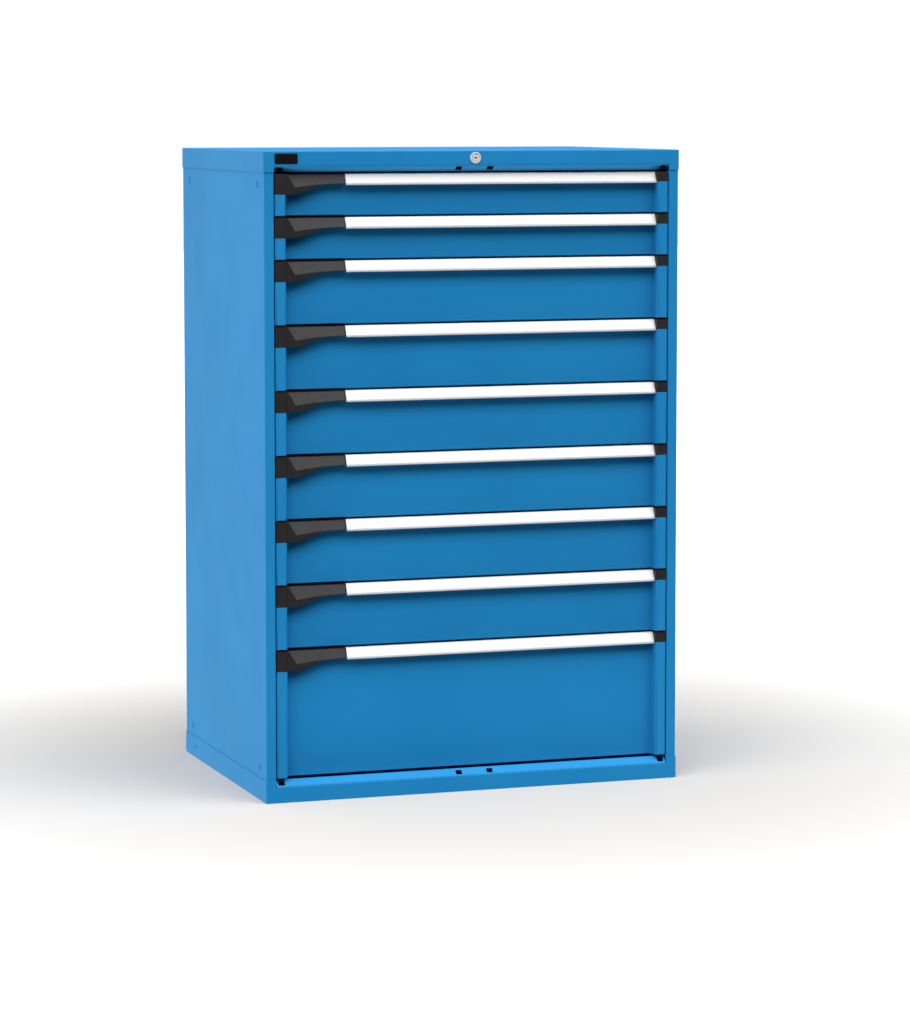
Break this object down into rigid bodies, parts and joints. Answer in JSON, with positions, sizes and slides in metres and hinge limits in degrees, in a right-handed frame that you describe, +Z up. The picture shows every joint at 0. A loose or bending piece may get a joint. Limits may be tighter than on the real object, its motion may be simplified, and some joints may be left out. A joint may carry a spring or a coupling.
{
  "type": "drawer cabinet",
  "caption": "Tall steel workshop cabinet with full-width sliding drawers, sloped label handles with thumb latches, telescopic runners and a central lock.",
  "frame": {"origin": "centre of the footprint, on the floor", "axes": "+Z up, -Y out of the front where the drawers open, +X to the right seen from the front"},
  "size_m": [1.023, 0.7275, 1.505],
  "materials": {
    "blue_paint": "semi-gloss powder coat",
    "black_plastic": "fine moulded grain",
    "white_handle": "pale satin, holds a white label strip",
    "zinc": "zinc plated",
    "bright_steel": "bright nickel plated"
  },
  "bodies": {
    "cabinet": {"left_side_panel": "blue_paint", "right_side_panel": "blue_paint", "back_panel": "blue_paint", "top_cover": "blue_paint", "base_plinth": "blue_paint", "runner_uprights": "blue_paint", "cabinet_runners": "zinc", "side_plugs": "blue_paint", "badge_plate": "black_plastic", "lock_barrel": "bright_steel", "lock_guides": "zinc"},
    "lock_core": {"lock_plug": "bright_steel", "lock_cam": "zinc"},
    "lock_rod": {"lock_rod": "zinc"},
    "lock_bar": {"lock_bar": "zinc"},
    "drawer_1": {"drawer_1_body": "blue_paint", "drawer_1_handle": "white_handle", "drawer_1_handle_ends": "black_plastic"},
    "mid_runners_1": {"drawer_1_mid_runners": "zinc"},
    "latch_1": {"drawer_1_latch": "black_plastic"},
    "drawer_2": {"drawer_2_body": "blue_paint", "drawer_2_handle": "white_handle", "drawer_2_handle_ends": "black_plastic"},
    "mid_runners_2": {"drawer_2_mid_runners": "zinc"},
    "latch_2": {"drawer_2_latch": "black_plastic"},
    "drawer_3": {"drawer_3_body": "blue_paint", "drawer_3_handle": "white_handle", "drawer_3_handle_ends": "black_plastic"},
    "mid_runners_3": {"drawer_3_mid_runners": "zinc"},
    "latch_3": {"drawer_3_latch": "black_plastic"},
    "drawer_4": {"drawer_4_body": "blue_paint", "drawer_4_handle": "white_handle", "drawer_4_handle_ends": "black_plastic"},
    "mid_runners_4": {"drawer_4_mid_runners": "zinc"},
    "latch_4": {"drawer_4_latch": "black_plastic"},
    "drawer_5": {"drawer_5_body": "blue_paint", "drawer_5_handle": "white_handle", "drawer_5_handle_ends": "black_plastic"},
    "mid_runners_5": {"drawer_5_mid_runners": "zinc"},
    "latch_5": {"drawer_5_latch": "black_plastic"},
    "drawer_6": {"drawer_6_body": "blue_paint", "drawer_6_handle": "white_handle", "drawer_6_handle_ends": "black_plastic"},
    "mid_runners_6": {"drawer_6_mid_runners": "zinc"},
    "latch_6": {"drawer_6_latch": "black_plastic"},
    "drawer_7": {"drawer_7_body": "blue_paint", "drawer_7_handle": "white_handle", "drawer_7_handle_ends": "black_plastic"},
    "mid_runners_7": {"drawer_7_mid_runners": "zinc"},
    "latch_7": {"drawer_7_latch": "black_plastic"},
    "drawer_8": {"drawer_8_body": "blue_paint", "drawer_8_handle": "white_handle", "drawer_8_handle_ends": "black_plastic"},
    "mid_runners_8": {"drawer_8_mid_runners": "zinc"},
    "latch_8": {"drawer_8_latch": "black_plastic"},
    "drawer_9": {"drawer_9_body": "blue_paint", "drawer_9_handle": "white_handle", "drawer_9_handle_ends": "black_plastic"},
    "mid_runners_9": {"drawer_9_mid_runners": "zinc"},
    "latch_9": {"drawer_9_latch": "black_plastic"}
  },
  "joints": [
    {"name": "drawer_1_slide", "type": "slide", "parent": "cabinet", "child": "drawer_1", "axis": [0, -1, 0], "range_m": [0, 0.6]},
    {"name": "mid_runners_1_slide", "type": "slide", "parent": "cabinet", "child": "mid_runners_1", "axis": [0, -1, 0], "range_m": [0, 0.3]},
    {"name": "latch_1_swing", "type": "hinge", "parent": "drawer_1", "child": "latch_1", "pos_m": [-0.386, -0.344, 1.438], "axis": [1, 0, 0], "range_deg": [0, 8], "stiffness_Nm_per_rad": 0.6, "springref_deg": -2.86},
    {"name": "drawer_2_slide", "type": "slide", "parent": "cabinet", "child": "drawer_2", "axis": [0, -1, 0], "range_m": [0, 0.6]},
    {"name": "mid_runners_2_slide", "type": "slide", "parent": "cabinet", "child": "mid_runners_2", "axis": [0, -1, 0], "range_m": [0, 0.3]},
    {"name": "latch_2_swing", "type": "hinge", "parent": "drawer_2", "child": "latch_2", "pos_m": [-0.386, -0.344, 1.338], "axis": [1, 0, 0], "range_deg": [0, 8], "stiffness_Nm_per_rad": 0.6, "springref_deg": -2.86},
    {"name": "drawer_3_slide", "type": "slide", "parent": "cabinet", "child": "drawer_3", "axis": [0, -1, 0], "range_m": [0, 0.6]},
    {"name": "mid_runners_3_slide", "type": "slide", "parent": "cabinet", "child": "mid_runners_3", "axis": [0, -1, 0], "range_m": [0, 0.3]},
    {"name": "latch_3_swing", "type": "hinge", "parent": "drawer_3", "child": "latch_3", "pos_m": [-0.386, -0.344, 1.238], "axis": [1, 0, 0], "range_deg": [0, 8], "stiffness_Nm_per_rad": 0.6, "springref_deg": -2.86},
    {"name": "drawer_4_slide", "type": "slide", "parent": "cabinet", "child": "drawer_4", "axis": [0, -1, 0], "range_m": [0, 0.6]},
    {"name": "mid_runners_4_slide", "type": "slide", "parent": "cabinet", "child": "mid_runners_4", "axis": [0, -1, 0], "range_m": [0, 0.3]},
    {"name": "latch_4_swing", "type": "hinge", "parent": "drawer_4", "child": "latch_4", "pos_m": [-0.386, -0.344, 1.088], "axis": [1, 0, 0], "range_deg": [0, 8], "stiffness_Nm_per_rad": 0.6, "springref_deg": -2.86},
    {"name": "drawer_5_slide", "type": "slide", "parent": "cabinet", "child": "drawer_5", "axis": [0, -1, 0], "range_m": [0, 0.6]},
    {"name": "mid_runners_5_slide", "type": "slide", "parent": "cabinet", "child": "mid_runners_5", "axis": [0, -1, 0], "range_m": [0, 0.3]},
    {"name": "latch_5_swing", "type": "hinge", "parent": "drawer_5", "child": "latch_5", "pos_m": [-0.386, -0.344, 0.938], "axis": [1, 0, 0], "range_deg": [0, 8], "stiffness_Nm_per_rad": 0.6, "springref_deg": -2.86},
    {"name": "drawer_6_slide", "type": "slide", "parent": "cabinet", "child": "drawer_6", "axis": [0, -1, 0], "range_m": [0, 0.6]},
    {"name": "mid_runners_6_slide", "type": "slide", "parent": "cabinet", "child": "mid_runners_6", "axis": [0, -1, 0], "range_m": [0, 0.3]},
    {"name": "latch_6_swing", "type": "hinge", "parent": "drawer_6", "child": "latch_6", "pos_m": [-0.386, -0.344, 0.788], "axis": [1, 0, 0], "range_deg": [0, 8], "stiffness_Nm_per_rad": 0.6, "springref_deg": -2.86},
    {"name": "drawer_7_slide", "type": "slide", "parent": "cabinet", "child": "drawer_7", "axis": [0, -1, 0], "range_m": [0, 0.6]},
    {"name": "mid_runners_7_slide", "type": "slide", "parent": "cabinet", "child": "mid_runners_7", "axis": [0, -1, 0], "range_m": [0, 0.3]},
    {"name": "latch_7_swing", "type": "hinge", "parent": "drawer_7", "child": "latch_7", "pos_m": [-0.386, -0.344, 0.638], "axis": [1, 0, 0], "range_deg": [0, 8], "stiffness_Nm_per_rad": 0.6, "springref_deg": -2.86},
    {"name": "drawer_8_slide", "type": "slide", "parent": "cabinet", "child": "drawer_8", "axis": [0, -1, 0], "range_m": [0, 0.6]},
    {"name": "mid_runners_8_slide", "type": "slide", "parent": "cabinet", "child": "mid_runners_8", "axis": [0, -1, 0], "range_m": [0, 0.3]},
    {"name": "latch_8_swing", "type": "hinge", "parent": "drawer_8", "child": "latch_8", "pos_m": [-0.386, -0.344, 0.488], "axis": [1, 0, 0], "range_deg": [0, 8], "stiffness_Nm_per_rad": 0.6, "springref_deg": -2.86},
    {"name": "drawer_9_slide", "type": "slide", "parent": "cabinet", "child": "drawer_9", "axis": [0, -1, 0], "range_m": [0, 0.6]},
    {"name": "mid_runners_9_slide", "type": "slide", "parent": "cabinet", "child": "mid_runners_9", "axis": [0, -1, 0], "range_m": [0, 0.3]},
    {"name": "latch_9_swing", "type": "hinge", "parent": "drawer_9", "child": "latch_9", "pos_m": [-0.386, -0.344, 0.338], "axis": [1, 0, 0], "range_deg": [0, 8], "stiffness_Nm_per_rad": 0.6, "springref_deg": -2.86},
    {"name": "lock_bar_slide", "type": "slide", "parent": "cabinet", "child": "lock_bar", "axis": [0, 0, 1], "range_m": [0, 0.00848]},
    {"name": "lock_rod_slide", "type": "slide", "parent": "cabinet", "child": "lock_rod", "axis": [1, 0, 0], "range_m": [0, 0.00859]},
    {"name": "lock_turn", "type": "hinge", "parent": "cabinet", "child": "lock_core", "pos_m": [0, -0.3625, 1.488], "axis": [0, 1, 0], "range_deg": [0, 90]}
  ],
  "couplings": [
    {"joint": "mid_runners_1_slide", "follows": "drawer_1_slide", "ratio": 0.5},
    {"joint": "mid_runners_2_slide", "follows": "drawer_2_slide", "ratio": 0.5},
    {"joint": "mid_runners_3_slide", "follows": "drawer_3_slide", "ratio": 0.5},
    {"joint": "mid_runners_4_slide", "follows": "drawer_4_slide", "ratio": 0.5},
    {"joint": "mid_runners_5_slide", "follows": "drawer_5_slide", "ratio": 0.5},
    {"joint": "mid_runners_6_slide", "follows": "drawer_6_slide", "ratio": 0.5},
    {"joint": "mid_runners_7_slide", "follows": "drawer_7_slide", "ratio": 0.5},
    {"joint": "mid_runners_8_slide", "follows": "drawer_8_slide", "ratio": 0.5},
    {"joint": "mid_runners_9_slide", "follows": "drawer_9_slide", "ratio": 0.5},
    {"joint": "lock_rod_slide", "follows": "lock_bar_slide", "ratio": 1},
    {"joint": "lock_turn", "follows": "lock_bar_slide", "rad_per_m": 185.12}
  ]
}
